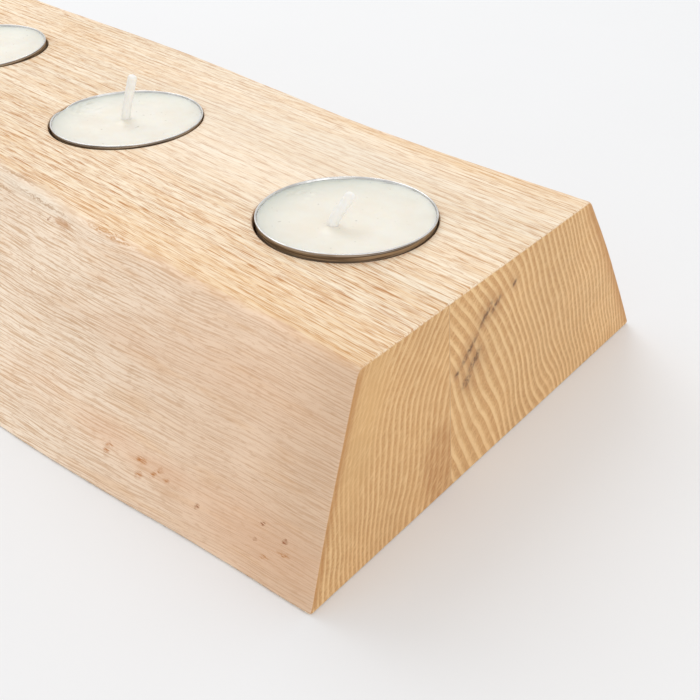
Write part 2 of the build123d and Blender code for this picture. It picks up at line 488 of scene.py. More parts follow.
def new_finish(name):
    """Material with an empty tree, its surface shader, and the place on the piece in millimetres."""
    finish = bpy.data.materials.new(name)
    finish.use_nodes = True
    tree = finish.node_tree
    tree.nodes.clear()
    surface = tree.nodes.new("ShaderNodeBsdfPrincipled")
    output = tree.nodes.new("ShaderNodeOutputMaterial")
    tree.links.new(surface.outputs[0], output.inputs["Surface"])
    place = wire(tree, "ShaderNodeTexCoord", {}).outputs["Object"]
    return finish, tree, surface, scaled(tree, place, 1 / mm)


def mottle(tree, at, size, detail=2.0):
    """Noise with patches about this long (along the grain) and wide, in millimetres."""
    along, across = size
    stretched = vector_maths(tree, "MULTIPLY", at, (1 / along, 1 / across, 1 / across))
    inputs = {"Vector": stretched, "Scale": 1.0, "Detail": detail}
    return wire(tree, "ShaderNodeTexNoise", inputs, noise_dimensions="3D").outputs[0]


def ramp(tree, value, stops):
    """Colour at a value on a ramp of (position, colour) stops."""
    node = wire(tree, "ShaderNodeValToRGB", {0: value})
    stretch = node.color_ramp
    while len(stretch.elements) < len(stops):
        stretch.elements.new(0.5)
    for element, (position, shade) in zip(stretch.elements, stops):
        element.position = position
        element.color = shade
    return node.outputs[0]


def product(tree, *values):
    """Several values multiplied together."""
    total = values[0]
    for value in values[1:]:
        total = maths(tree, "MULTIPLY", total, value)
    return total


def swing(tree, at, size, reach, detail=1.0):
    """Noise about zero that swings by this reach either way."""
    return product(tree, maths(tree, "SUBTRACT", mottle(tree, at, size, detail), 0.5), 2 * reach)


def marks(tree, at, places, blur):
    """Share of oval marks; each has a middle, half-sizes (0 where a way doesn't count) and a turn about X."""
    total = 0.0
    for middle, half_sizes, turn in places:
        inputs = {"Vector": vector_maths(tree, "SUBTRACT", at, middle), "Angle": -math.radians(turn)}
        turned = wire(tree, "ShaderNodeVectorRotate", inputs, rotation_type="X_AXIS").outputs[0]
        shrunk = vector_maths(tree, "MULTIPLY", turned, [1 / size if size else 0.0 for size in half_sizes])
        mark = between(tree, length_of(tree, shrunk), 1 - blur, 1 + blur, 1.0, 0.0)
        total = maths(tree, "MAXIMUM", total, mark)
    return total


def growth_rings(tree, at, pith, first_ring, ring_width, ring_fade):
    """Place within a growth ring (0 to 1) and a chance value for it; rings close up towards the bark."""
    slow_size, slow_reach = (190, 18), 2.8
    quick_size, quick_reach = (70, 6.5), 0.4
    from_pith = vector_maths(tree, "MULTIPLY", vector_maths(tree, "SUBTRACT", at, (0, *pith)), (0, 1, 1))
    radius = length_of(tree, from_pith)
    radius = maths(tree, "ADD", radius, swing(tree, at, slow_size, slow_reach, 0.0))
    radius = maths(tree, "ADD", radius, swing(tree, at, quick_size, quick_reach))
    past_first = maths(tree, "SUBTRACT", radius, first_ring)
    growth = maths(tree, "EXPONENT", maths(tree, "DIVIDE", past_first, ring_fade))
    years = maths(tree, "MULTIPLY", growth, ring_fade / ring_width)
    count = {"W": maths(tree, "FLOOR", years)}
    chance = wire(tree, "ShaderNodeTexWhiteNoise", count, noise_dimensions="1D").outputs[0]
    return maths(tree, "FRACT", years), chance


def sawn_end_tone(tree, at, phase, chance, stains, streaks):
    """Colour of the end grain: cream and gritty tan bands, stains, sanding marks and mineral streaks."""
    light, middle, dark = colour(240, 203, 151), colour(225, 184, 132), colour(209, 162, 110)
    grit_size, blotch_size = (3, 0.28), (30, 3.5)
    scratch_angle, scratch_size = math.radians(-38), (20, 3, 0.28)
    streak_from, streak_to, halo_length_share, halo_width_share = 95, 130, 1.4, 4.0
    bead_size = (6, 0.7)
    bands = [(0.0, dark), (0.06, light), (0.28, light), (0.44, middle), (0.64, dark), (1.0, dark)]
    tone = ramp(tree, phase, bands)
    tone = mix(tree, between(tree, chance, 0.0, 1.0, 0.0, 0.3), tone, middle)
    grit = between(tree, mottle(tree, at, grit_size), 0.42, 0.6, 0.0, 0.6)
    gritty = product(tree, grit, between(tree, phase, 0.3, 0.6, 0.3, 1.0))
    tone = mix(tree, gritty, tone, colour(184, 134, 84))
    blotch = between(tree, mottle(tree, at, blotch_size), 0.45, 0.7, 0.0, 0.35)
    tone = mix(tree, blotch, tone, dark)
    for y, z, half_length, half_width, turn, blur, share, shade in stains:
        stain = marks(tree, at, [((0, y, z), (0, half_length, half_width), turn)], blur)
        tone = mix(tree, product(tree, stain, share), tone, shade)
    inputs = {"Vector": at, "Angle": scratch_angle}
    tilted = wire(tree, "ShaderNodeVectorRotate", inputs, rotation_type="X_AXIS").outputs[0]
    scratch_at = vector_maths(tree, "MULTIPLY", tilted, [1 / size for size in scratch_size])
    scratch = wire(tree, "ShaderNodeTexNoise", {"Vector": scratch_at, "Scale": 1.0, "Detail": 1.0}).outputs[0]
    tone = mix(tree, between(tree, scratch, 0.5, 0.68, 0.0, 0.45), tone, light)
    if streaks:
        cores, halos = [], []
        for y, z, half_length, half_width, turn in streaks:
            cores.append(((0, y, z), (0, half_length, half_width), turn))
            halo = (0, halo_length_share * half_length, halo_width_share * half_width)
            halos.append(((0, y, z), halo, turn))
        along = wire(tree, "ShaderNodeSeparateXYZ", {0: at}).outputs[0]
        near_share = between(tree, along, streak_from, streak_to)
        halo = product(tree, marks(tree, at, halos, 0.9), near_share, 0.4)
        tone = mix(tree, halo, tone, colour(172, 124, 84))
        broken = between(tree, mottle(tree, at, bead_size), 0.38, 0.6, 0.25, 1.0)
        core = product(tree, marks(tree, at, cores, 0.8), near_share, broken, 0.85)
        tone = mix(tree, core, tone, colour(104, 78, 60))
    return tone


def planed_tone(tree, at, phase, shades, pore_length, scatter_share):
    """Colour of the planed faces: pale summer wood, tan spring wood and the fine dashes of open pores."""
    light, spring_shade, warm_shade, pore_shade = shades
    band_size, shine_size, pore_size = (60, 3.5), (14, 0.6), (pore_length, 0.27)
    fleck_size, glint_size = (3.6, 0.18), (5.0, 0.2)
    pale_middle = [((82, 9, 0), (42, 21, 0), 0)]
    pale_sides = [((114, 27, 0), (42, 6, 0), 0), ((38, 28, 0), (28, 12, 0), 0)]
    golden_strips = [((128, -35, 0), (44, 6, 0), 0), ((116, 38, 0), (30, 4, 0), 0)]
    spring = between(tree, phase, 0.1, 0.55, 1.0, 0.0)
    tone = mix(tree, product(tree, spring, 0.75), light, spring_shade)
    warm = between(tree, mottle(tree, at, band_size), 0.35, 0.65, 0.1, 0.7)
    tone = mix(tree, warm, tone, warm_shade)
    shine = between(tree, mottle(tree, at, shine_size), 0.5, 0.7, 0.0, 0.5)
    tone = mix(tree, shine, tone, light)
    gathered = between(tree, phase, 0.08, 0.5, 1.0, scatter_share)
    pores = product(tree, between(tree, mottle(tree, at, pore_size, 1.0), 0.47, 0.62), gathered)
    tone = mix(tree, pores, tone, pore_shade)
    flecks = between(tree, mottle(tree, at, fleck_size, 1.0), 0.52, 0.68, 0.0, 0.76)
    tone = mix(tree, flecks, tone, pore_shade)
    glint = between(tree, mottle(tree, at, glint_size, 1.0), 0.52, 0.68, 0.0, 0.82)
    tone = mix(tree, glint, tone, light)
    for patch, share in ((pale_middle, 0.36), (pale_sides, 0.18)):
        tone = mix(tree, product(tree, marks(tree, at, patch, 0.8), share), tone, colour(253, 242, 226))
    tone = mix(tree, product(tree, marks(tree, at, golden_strips, 0.8), 0.3), tone, colour(234, 192, 138))
    return tone, pores


def live_skin_tone(tree, at):
    """Colour of the live side, drawn by length and height alone: pale sapwood in fine fibres that climb a
    little, with warm patches, browner and smoother towards the near end."""
    pale, brown = colour(255, 236, 214), colour(244, 214, 186)
    ridge, slope, groove = (1.0, 1.0, 1.0, 1.0), (0.98, 0.95, 0.92, 1.0), (0.74, 0.62, 0.51, 1.0)
    rib_pitch, rib_rise, rib_wander, rib_break = 0.66, 0.03, 0.8, 6.0
    comb_share, fibre_share, thread_share = 0.3, 2.4, 2.2
    wander_size, break_size, fibre_size, thread_size = (24, 7), (14, 1.2), (16, 0.25), (8, 0.16)
    cloud_size, warm_size, grit_size = (38, 9), (20, 2.6), (2.4, 0.26)
    brown_from, brown_to, darker_from, darker_to = 72, 150, 138, 158
    worn_from, worn_to, worn_share = 85, 135, 0.6
    parts = wire(tree, "ShaderNodeSeparateXYZ", {0: at}).outputs
    level = wire(tree, "ShaderNodeCombineXYZ", {0: parts[0], 2: parts[2]}).outputs[0]
    climb = maths(tree, "ADD", product(tree, parts[0], rib_rise), swing(tree, level, wander_size, rib_wander))
    up_ribs = maths(tree, "SUBTRACT", parts[2], climb)
    along_ribs = wire(tree, "ShaderNodeCombineXYZ", {0: parts[0], 2: up_ribs}).outputs[0]
    turn = product(tree, up_ribs, math.tau / rib_pitch)
    turn = maths(tree, "ADD", turn, swing(tree, along_ribs, break_size, rib_break))
    ribs = product(tree, maths(tree, "SINE", turn), comb_share)
    ribs = maths(tree, "ADD", ribs, swing(tree, along_ribs, fibre_size, fibre_share))
    ribs = maths(tree, "ADD", ribs, swing(tree, along_ribs, thread_size, thread_share))
    ribs = between(tree, ribs, -0.95, 0.95)
    tone = mix(tree, between(tree, parts[0], brown_from, brown_to), pale, brown)
    # Darker and browner over the last stretch towards the near end.
    tone = mix(tree, between(tree, parts[0], darker_from, darker_to), tone, colour(228, 197, 168))
    cloud = between(tree, mottle(tree, along_ribs, cloud_size), 0.45, 0.7, 0.0, 0.3)
    tone = mix(tree, cloud, tone, colour(236, 205, 176))
    warm = between(tree, mottle(tree, along_ribs, warm_size, 3.0), 0.5, 0.72, 0.0, 0.4)
    tone = mix(tree, warm, tone, colour(238, 198, 156))
    ribbed = ramp(tree, ribs, [(0.0, groove), (0.45, slope), (0.9, ridge)])
    tone = mix(tree, between(tree, parts[0], worn_from, worn_to, 1.0, worn_share), tone, ribbed, "MULTIPLY")
    grit = between(tree, mottle(tree, along_ribs, grit_size, 1.0), 0.54, 0.68, 0.0, 0.4)
    return mix(tree, grit, tone, colour(206, 164, 126)), ribs


def scarred(tree, at, tone):
    """The front side's own scars: bud flecks, a knot, a pale torn strip along the crown and its cracks."""
    ragged_size, ragged_reach, fibre_size = (1.2, 0.35), 0.8, (3, 0.28)
    # Marks on the side have their place along and up it, half-length and half-height.
    flecks = [
        (107.0, 8.7, 0.9, 0.36),
        (106.6, 7.5, 0.8, 0.34),
        (116.0, 9.1, 1.4, 0.5),
        (116.3, 6.6, 0.9, 0.5),
        (119.8, 8.0, 0.5, 0.5),
        (121.2, 9.2, 0.7, 0.4),
        (123.0, 8.2, 0.8, 0.34),
        (148.9, 5.1, 1.0, 0.26),
        (152.9, 7.4, 1.2, 0.26),
    ]
    buds = [
        (131.8, 6.9, 0.5, 0.45),
        (146.3, 7.2, 0.4, 0.35),
        (152.6, 9.7, 0.5, 0.4),
        (147.0, 10.5, 0.5, 0.25),
        (67.9, 28.9, 0.5, 0.4),
        (66.9, 38.2, 0.4, 0.3),
    ]
    knots = [(72.0, 38.7, 3.6, 0.7)]
    low_blushes = [(105.0, 10.5, 8.0, 2.4), (121.0, 9.4, 10.0, 2.0), (146.0, 7.5, 16.0, 5.5)]
    high_blushes = [(128.0, 31.0, 20.0, 4.0), (106.0, 27.5, 13.0, 3.0), (81.0, 13.0, 12.0, 3.0)]
    crown_strip = [((58, -37.8, 40.4), (15, 1.7, 1.5), 0)]
    cracks = [((50, -36.3, 41.5), (9, 0.35, 0.8), 0)]
    cracks += [((62, 0, 40.2), (11, 0, 0.2), 0), ((47, 0, 38.6), (4, 0, 0.2), 0)]
    stitches = [((87.5, -38.0, 41.2), (8, 0.8, 0.8), 0)]
    nudge = swing(tree, at, ragged_size, ragged_reach, 2.0)
    nudged = wire(tree, "ShaderNodeCombineXYZ", {0: nudge, 1: nudge, 2: nudge}).outputs[0]
    ragged = vector_maths(tree, "ADD", at, nudged)
    fibres = between(tree, mottle(tree, at, fibre_size), 0.4, 0.58, 0.35, 1.0)

    def on_side(places):
        """The same marks as middles and half-sizes that leave out the way across the board."""
        return [((along, 0, up), (half_length, 0, half_up), 0) for along, up, half_length, half_up in places]

    for places, share in ((low_blushes, 0.38), (high_blushes, 0.16)):
        blush = product(tree, marks(tree, at, on_side(places), 0.9), share)
        tone = mix(tree, blush, tone, colour(224, 174, 136))
    tone = mix(tree, product(tree, marks(tree, ragged, crown_strip, 0.8), 0.6), tone, colour(252, 240, 222))
    scar_kinds = [
        (knots, 0.4, 0.8, colour(204, 156, 114)),
        (flecks, 0.7, 0.95, colour(194, 128, 70)),
        (buds, 0.55, 0.95, colour(158, 96, 56)),
    ]
    for places, blur, share, shade in scar_kinds:
        scar = product(tree, marks(tree, ragged, on_side(places), blur), fibres, share)
        tone = mix(tree, scar, tone, shade)
    tone = mix(tree, product(tree, marks(tree, ragged, cracks, 0.8), 0.6), tone, colour(182, 136, 88))
    torn = between(tree, mottle(tree, at, ragged_size), 0.48, 0.58)
    return mix(tree, product(tree, marks(tree, at, stitches, 0.5), torn, 0.7), tone, colour(200, 142, 78))


def ash_finish(name, rings, pore_plan, stains=(), streaks=(), scars=False):
    """Planed and oiled ash for one board, from its pith and ring widths in millimetres."""
    finish, tree, surface, at = new_finish(name)
    fray_size, torn_size, cloud_size = (11, 2.2), (9, 1.4), (90, 16)
    pore_depth = 0.1 * mm
    phase, chance = growth_rings(tree, at, *rings)
    end_tone = sawn_end_tone(tree, at, phase, chance, stains, streaks)
    face_tone, pores = planed_tone(tree, at, phase, *pore_plan)
    skin_tone, ribs = live_skin_tone(tree, at)
    normal = wire(tree, "ShaderNodeNewGeometry", {}).outputs["Normal"]
    facing = wire(tree, "ShaderNodeSeparateXYZ", {0: normal}).outputs[0]
    end_share = between(tree, maths(tree, "ABSOLUTE", facing), 0.6, 0.88)
    live = wire(tree, "ShaderNodeAttribute", {}, attribute_name="live_edge").outputs["Fac"]
    live_share = between(tree, maths(tree, "ADD", live, swing(tree, at, fray_size, 0.5, 3.0)), 0.35, 0.75)
    tone = mix(tree, live_share, face_tone, skin_tone)
    rim = product(tree, live, maths(tree, "SUBTRACT", 1.0, live), 4.0)
    torn = between(tree, mottle(tree, at, torn_size, 3.0), 0.48, 0.66)
    tone = mix(tree, product(tree, rim, torn, 0.35), tone, colour(206, 156, 106))
    if scars:
        tone = scarred(tree, at, tone)
    border = product(tree, between(tree, live, 0.0, 1.0), 0.65)
    end_tone = mix(tree, border, end_tone, colour(190, 136, 84))
    tone = mix(tree, end_share, tone, end_tone)
    cloud = between(tree, mottle(tree, at, cloud_size), 0.3, 0.7, 0.95, 1.02)
    cloudy = wire(tree, "ShaderNodeCombineColor", {0: cloud, 1: cloud, 2: cloud}).outputs[0]
    tree.links.new(mix(tree, 1.0, tone, cloudy, "MULTIPLY"), surface.inputs["Base Color"])
    grain = maths(tree, "SUBTRACT", product(tree, ribs, live_share, 1.5), pores)
    inputs = {"Strength": 0.4, "Distance": pore_depth, "Height": grain}
    tree.links.new(wire(tree, "ShaderNodeBump", inputs).outputs[0], surface.inputs["Normal"])
    tree.links.new(between(tree, ribs, 0.3, 0.7, 0.55, 0.72), surface.inputs["Roughness"])
    surface.inputs["Specular IOR Level"].default_value = 0.25
    return finish


# Rings of a board: its pith across and up, a radius, the ring width there, and the radius over which rings
# narrow. Pores: the shades of the planed faces, the pore length and the share of pores outside spring wood.
front_rings = ((36.0, 0.0), 47.5, 2.3, 57.0)
rear_rings = ((-140.0, -45.0), 136.0, 2.9, 80.0)
front_shades = [colour(254, 239, 214), colour(240, 209, 171), colour(239, 202, 157), colour(196, 138, 84)]
rear_shades = [colour(252, 238, 215), colour(241, 213, 178), colour(240, 207, 166), colour(198, 146, 96)]
front_pores = (front_shades, 8.0, 0.4)
rear_pores = (rear_shades, 9.0, 0.2)
# Stains on the sawn end: place across and up, half-length, half-width, turn, blur, share and shade. Streaks
# have the first five of these.
sapwood_stain = (-36.5, 31.0, 15.0, 4.6, 68, 0.8, 0.75, colour(219, 176, 122))
damp_stain = (-14.5, 7.5, 6.0, 9.5, 0, 0.35, 0.5, colour(180, 126, 78))
front_stain = (-27.0, 20.0, 34.0, 18.0, 68, 0.3, 0.22, colour(196, 146, 94))
mineral_streaks = [
    (-5.2, 28.4, 3.2, 0.6, 38),
    (0.6, 33.6, 2.6, 0.58, 41),
    (4.0, 34.2, 2.0, 0.5, 36),
    (10.6, 35.9, 1.0, 0.4, 36),
    (-3.4, 25.4, 2.4, 0.85, 43),
    (-6.1, 22.1, 1.4, 0.8, 36),
    (-9.2, 25.4, 0.9, 0.5, 38),
]
front_stains = [front_stain, sapwood_stain, damp_stain]

# Boards: each is built whole, drilled for the four sockets and given its own finish.
front_ash = ash_finish("front_ash", front_rings, front_pores, stains=front_stains, scars=True)
rear_ash = ash_finish("rear_ash", rear_rings, rear_pores, streaks=mineral_streaks)
drill = drill_tree()
crease_angle = math.radians(35)
front_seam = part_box("front_board")[1].y
rear_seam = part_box("rear_board")[0].y
front_side = read_live_side("front_board", -1)
rear_side = swollen(read_live_side("rear_board", 1))
board_plans = [
    ("front_board", -1, front_seam, front_side, 3.0, front_ash, "front_ash"),
    ("rear_board", 1, rear_seam, rear_side, 11.0, rear_ash, "rear_ash"),
]
for node, outward, seam, side, seed, finish, slot_name in board_plans:
    blank = show(f"{node}_blank", board_mesh(node, outward, seam, side, seed))
    drilled = grow(blank, drill, {"Cutter": cutter, "Row": row, "Finish": finish})
    drilled.shade_smooth()
    drilled.set_sharp_from_angle(angle=crease_angle)
    bpy.data.objects.remove(blank)
    board = show(f"{node}_wood", drilled)
    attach(board, "holder")
    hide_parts(node)
bpy.data.objects.remove(cutter)
bpy.data.objects.remove(row)

# Glue line: the film of wood glue left in the seam when the boards were clamped, sanded flush with them.
# It dries clear to amber, so it reads as a hairline a shade darker than the wood.
glue_finish, tree, surface, at = new_finish("dried_glue")
glue_cloud_size = (12, 1.5)
glue_tone = mix(tree, mottle(tree, at, glue_cloud_size), colour(214, 178, 134), colour(186, 144, 98))
tree.links.new(glue_tone, surface.inputs["Base Color"])
surface.inputs["Roughness"].default_value = 0.5
glue_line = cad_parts["glue_line"]
for material_slot in glue_line.material_slots:
    material_slot.material = glue_finish

# Tealight cups: drawn from thin bright aluminium, with a raised panel in the base, faint drawing flutes in
# the wall and a rolled bead at the rim. Each stands loose on the floor of its socket.
cup_height = cup_high.z - cup_low.z
cup_wall = 0.25 * mm
cup_draft = 0.5 * mm
rim_bead = 0.42 * mm
foot_corner = 1.5 * mm
panel_radius = 8.0 * mm
panel_rise = 0.5 * mm
cup_sides = 216
flute_count = 54
flute_depth = 0.07 * mm
bead_radius = rim_bead / 2
bead_height = cup_height - bead_radius
wall_top_radius = cup_radius - rim_bead + cup_wall
wall_foot_radius = wall_top_radius - cup_draft


def arc(centre, radius, start_angle, finish_angle, count):
    """Points of an arc in a profile, angles in degrees from the radius direction."""
    points = []
    for step in range(count + 1):
        angle = math.radians(start_angle + (finish_angle - start_angle) * step / count)
        points.append((centre[0] + radius * math.cos(angle), centre[1] + radius * math.sin(angle)))
    return points


def cup_outline():
    """Half-profile of the cup: under the base, up the outside, over the bead and down the inside."""
    corner_count, bead_count, outer_count, inner_count = 6, 16, 22, 8
    under_bead_share, bead_from, bead_to = 0.97, -150, 160
    straight_height = bead_height - foot_corner
    inner_corner = foot_corner - cup_wall
    shoulder = panel_radius + panel_rise
    foot_centre = wall_foot_radius - foot_corner
    bead_centre = (cup_radius - bead_radius, bead_height)
    outline = [(0, panel_rise), (panel_radius, panel_rise), (shoulder, 0)]
    outline += arc((foot_centre, foot_corner), foot_corner, -90, 0, corner_count)
    for share in np.append(np.linspace(0, 1, outer_count)[1:-1], under_bead_share):
        outline.append((wall_foot_radius + cup_draft * share, foot_corner + straight_height * share))
    outline += arc(bead_centre, bead_radius, bead_from, bead_to, bead_count)
    for share in np.linspace(1, 0, inner_count)[1:-1]:
        inside = wall_foot_radius + cup_draft * share - cup_wall
        outline.append((inside, foot_corner + straight_height * share))
    outline += arc((foot_centre, foot_corner), inner_corner, 0, -90, corner_count)
    outline += [(shoulder, cup_wall), (panel_radius, panel_rise + cup_wall), (0, panel_rise + cup_wall)]
    return outline


def flute(angle, radius, height):
    """Faint upright flutes in the wall that fade out towards the foot and the bead."""
    wall_from = 2 * panel_radius
    height_share = min(max((height - foot_corner) / (bead_height - foot_corner), 0), 1)
    fade = math.sin(math.pi * height_share) ** 0.5 if radius > wall_from else 0
    return radius - flute_depth * fade * (0.5 + 0.5 * math.cos(flute_count * angle)), height


def cup_finish():
    """Drawn aluminium, bright and slightly scuffed, with painted socket shade in a band below the rim."""
    finish, tree, surface, at = new_finish("drawn_aluminium")
    cloud_size, dent_size, reflected_streak_size = (6, 6), (1.5, 1.5), (12, 12, 0.3)
    dent_depth = 0.03 * mm
    cloud = mottle(tree, at, cloud_size, 3.0)
    tone = mix(tree, between(tree, cloud, 0.35, 0.7), colour(226, 226, 226), colour(196, 195, 194))
    # Painted shade and painted reflection: a dark brown, streaked band below the rim stands in for the socket
    # gap's shadow and the wood mirrored in the wall.
    socket_shade_share = wire(tree, "ShaderNodeAttribute", {}, attribute_name="socket_shade_band").outputs["Fac"]
    reflected_streak_at = vector_maths(tree, "MULTIPLY", at, [1 / size for size in reflected_streak_size])
    reflected_streaks = wire(tree, "ShaderNodeTexNoise", {"Vector": reflected_streak_at, "Scale": 1.0}).outputs[0]
    shade_and_reflection = mix(tree, between(tree, reflected_streaks, 0.4, 0.6), colour(100, 81, 60), colour(170, 145, 114))
    tree.links.new(mix(tree, socket_shade_share, tone, shade_and_reflection), surface.inputs["Base Color"])
    tree.links.new(between(tree, socket_shade_share, 0.0, 1.0, 1.0, 0.5), surface.inputs["Metallic"])
    scuff = between(tree, cloud, 0.3, 0.7, 0.2, 0.34)
    rough = maths(tree, "ADD", scuff, product(tree, socket_shade_share, 0.25))
    tree.links.new(rough, surface.inputs["Roughness"])
    inputs = {"Strength": 0.2, "Distance": dent_depth, "Height": mottle(tree, at, dent_size)}
    tree.links.new(wire(tree, "ShaderNodeBump", inputs).outputs[0], surface.inputs["Normal"])
    return finish


def paint(mesh, name, value_at):
    """Point attribute with a value worked out from each vertex's place."""
    mark = mesh.attributes.new(name, "FLOAT", "POINT")
    mark.data.foreach_set("value", [value_at(vertex.co) for vertex in mesh.vertices])


def socket_shade_band(place):
    """Painted shade: 1 outside just below the bead, fading out down the wall; 0 on the bead and inside."""
    band_height, fade_height = 1.6 * mm, 1.8 * mm
    height_share = min(max(place.z / bead_height, 0), 1)
    middle_radius = wall_foot_radius + cup_draft * height_share - cup_wall / 2
    below_bead = bead_height + bead_radius / 4 - place.z
    if below_bead < 0 or place.xy.length < middle_radius:
        return 0.0
    return min(max(1 - (below_bead - band_height) / fade_height, 0), 1)


def heading_vector(degrees):
    """Level unit vector towards a heading measured from +X."""
    return Vector((math.cos(math.radians(degrees)), math.sin(math.radians(degrees)), 0))


# Three of the tealights sit a little askew in their sockets. Each has the heading of its raised side, the
# angle it tips by, and the heading and length of its drift off the socket's middle.
seat_plans = {
    1: (-45, 1.9, -32, 0.7 * mm),
    2: (-45, 0.4, 45, 0.2 * mm),
    3: (110, 2.0, 110, 0.35 * mm),
}

# The second cup's rim is bent in at one place. A dent has its heading, half-width in degrees and depth.
rim_dents = {2: (205, 9, 0.5 * mm)}


def cup_shape(number):
    """Flutes of one cup's wall, and the dent in its rim if it has one."""
    heading, half_width, depth = rim_dents.get(number, (0, 1, 0))
    rim_share = 0.15

    def shape(angle, radius, height):
        reach, level = flute(angle, radius, height)
        off = math.remainder(angle - math.radians(heading), 2 * math.pi) / math.radians(half_width)
        near_rim = max(height / cup_height - 1 + rim_share, 0) / rim_share
        sink = depth * math.exp(-off * off) * near_rim ** 2
        return reach - sink / 2, level - sink

    return shape


def seating(number):
    """Move that puts a tealight in its socket, standing level or tipped on the edge of its foot."""
    place = Matrix.Translation(cup_place(number))
    if number not in seat_plans:
        return place
    raised_heading, angle, drift_heading, drift = seat_plans[number]
    raised = heading_vector(raised_heading)
    tip = Matrix.Rotation(math.radians(angle), 4, raised.cross(Vector((0, 0, 1))))
    pivot = Matrix.Translation(-raised * wall_foot_radius)
    return place @ Matrix.Translation(heading_vector(drift_heading) * drift) @ pivot @ tip @ pivot.inverted()


aluminium = cup_finish()
for number in tealight_numbers:
    cup_mesh = lathe(f"candle_cup_{number}_metal", cup_outline(), cup_sides, cup_shape(number))
    # Painted shade for the band of wall that stands in the socket's shadow.
    paint(cup_mesh, "socket_shade_band", socket_shade_band)
    cup_mesh.transform(seating(number))
    cup_mesh.materials.append(aluminium)
    cup_mesh.shade_smooth()
    cup_mesh.set_sharp_from_angle(angle=crease_angle)
    cup = show(f"candle_cup_{number}_metal", cup_mesh)
    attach(cup, f"tealight_{number}")
    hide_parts(f"candle_cup_{number}")

# Wick sustainers: small discs of tinned steel with a crimped neck that holds the wick's foot upright on the
# cup's panel. The wax covers them, and each tips with its cup.
disc_thickness = 0.3 * mm
neck_wall = 0.4 * mm
wick_radius = 1.0 * mm
neck_lip = 0.1 * mm
sustainer_sides = 72
disc_low, disc_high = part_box("wick_sustainer_1")
disc_radius = (disc_high.x - disc_low.x) / 2
disc_base = disc_low.z - cup_low.z
neck_top = disc_high.z - disc_low.z


def wick_foot(number):
    """Where a wick stands on its cup's panel, as an offset from the middle of the cup's foot."""
    points = np.array([v.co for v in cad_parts[f"wick_{number}"].data.vertices])
    low = points[:, 2].min()
    foot_slice = 0.05 * mm
    ring = np.unique(points[points[:, 2] < low + foot_slice].round(7), axis=0)
    return Vector(ring.mean(axis=0)) - cup_place(number)


def sustainer_outline():
    """Half-profile of a sustainer: the flat disc, up the neck's outside, over its lip and down its bore."""
    outer = wick_radius + neck_wall
    return [
        (0, 0),
        (disc_radius - neck_lip, 0),
        (disc_radius, neck_lip),
        (disc_radius, disc_thickness),
        (outer + neck_lip, disc_thickness),
        (outer, disc_thickness + neck_lip),
        (outer, neck_top - neck_lip),
        (outer - neck_lip, neck_top),
        (wick_radius, neck_top),
        (wick_radius, disc_thickness),
        (0, disc_thickness),
    ]


tin_finish, tree, surface, at = new_finish("tinned_steel")
tin_cloud_size = (2, 2)
tin_tone = mix(tree, mottle(tree, at, tin_cloud_size), colour(206, 206, 204), colour(170, 168, 164))
tree.links.new(tin_tone, surface.inputs["Base Color"])
surface.inputs["Metallic"].default_value = 1.0
surface.inputs["Roughness"].default_value = 0.35
for number in tealight_numbers:
    sustainer_mesh = lathe(f"wick_sustainer_{number}_tin", sustainer_outline(), sustainer_sides)
    stand = wick_foot(number)
    stand.z = disc_base
    sustainer_mesh.transform(seating(number) @ Matrix.Translation(stand))
    sustainer_mesh.materials.append(tin_finish)
    sustainer_mesh.shade_smooth()
    sustainer_mesh.set_sharp_from_angle(angle=crease_angle)
    sustainer = show(f"wick_sustainer_{number}_tin", sustainer_mesh)
    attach(sustainer, f"tealight_{number}")
    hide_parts(f"wick_sustainer_{number}")

# Wax: white paraffin poured round the wick. It cooled with a shallow dish, crept a little way up the wick and
# the cup's wall, and has small lumps on its top and chips beside the wall.
wax_edge_drop = 0.4 * mm
wax_dish = 1.4 * mm
wax_gap = 0.05 * mm
wick_creep = 1.4 * mm
wall_creep = 1.0 * mm
wick_creep_reach = 1.5 * mm
wall_creep_reach = 2.6 * mm
wax_sides = 180
wax_rings = 44
wax_edge = cup_height - wax_edge_drop
wax_centre = wax_edge - wax_dish

# The first wick leaves the wax to one side of its sustainer. An offset has its heading and its length.
offset_wicks = {1: (286, 3.2 * mm)}


def wick_exit(number):
    """Where a wick comes out of the wax, as a level offset from the middle of the cup's foot."""
    heading, reach = offset_wicks.get(number, (0, 0))
    return wick_foot(number) + heading_vector(heading) * reach


def wax_outline():
    """Half-profile of the wax: the dished top from the middle out, then down the wall and over the base."""
    ring_crowding = 0.8
    wall_top = wall_foot_radius + cup_draft * wax_edge / bead_height - cup_wall - wax_gap
    wall_foot = wall_foot_radius - cup_wall - wax_gap
    outline = []
    for share in np.linspace(0, 1, wax_rings) ** ring_crowding:
        dish = (wax_dish - wall_creep) * share ** 2
        up_wall = wall_creep * math.exp(-(1 - share) * wall_top / wall_creep_reach)
        outline.append((wall_top * share, wax_centre + dish + up_wall))
    outline.append((wall_foot, cup_wall + foot_corner))
    outline.append((wall_foot - foot_corner, cup_wall + wax_gap))
    outline.append((panel_radius + panel_rise, cup_wall + wax_gap))
    outline.append((panel_radius, disc_base + wax_gap))
    outline.append((0, disc_base + wax_gap))
    return outline


# Crumbs of wax lie by the rim of the first two cups. Each group has its heading and its reach.
crumb_groups = {1: (172, 4.0 * mm), 2: (190, 5.0 * mm)}


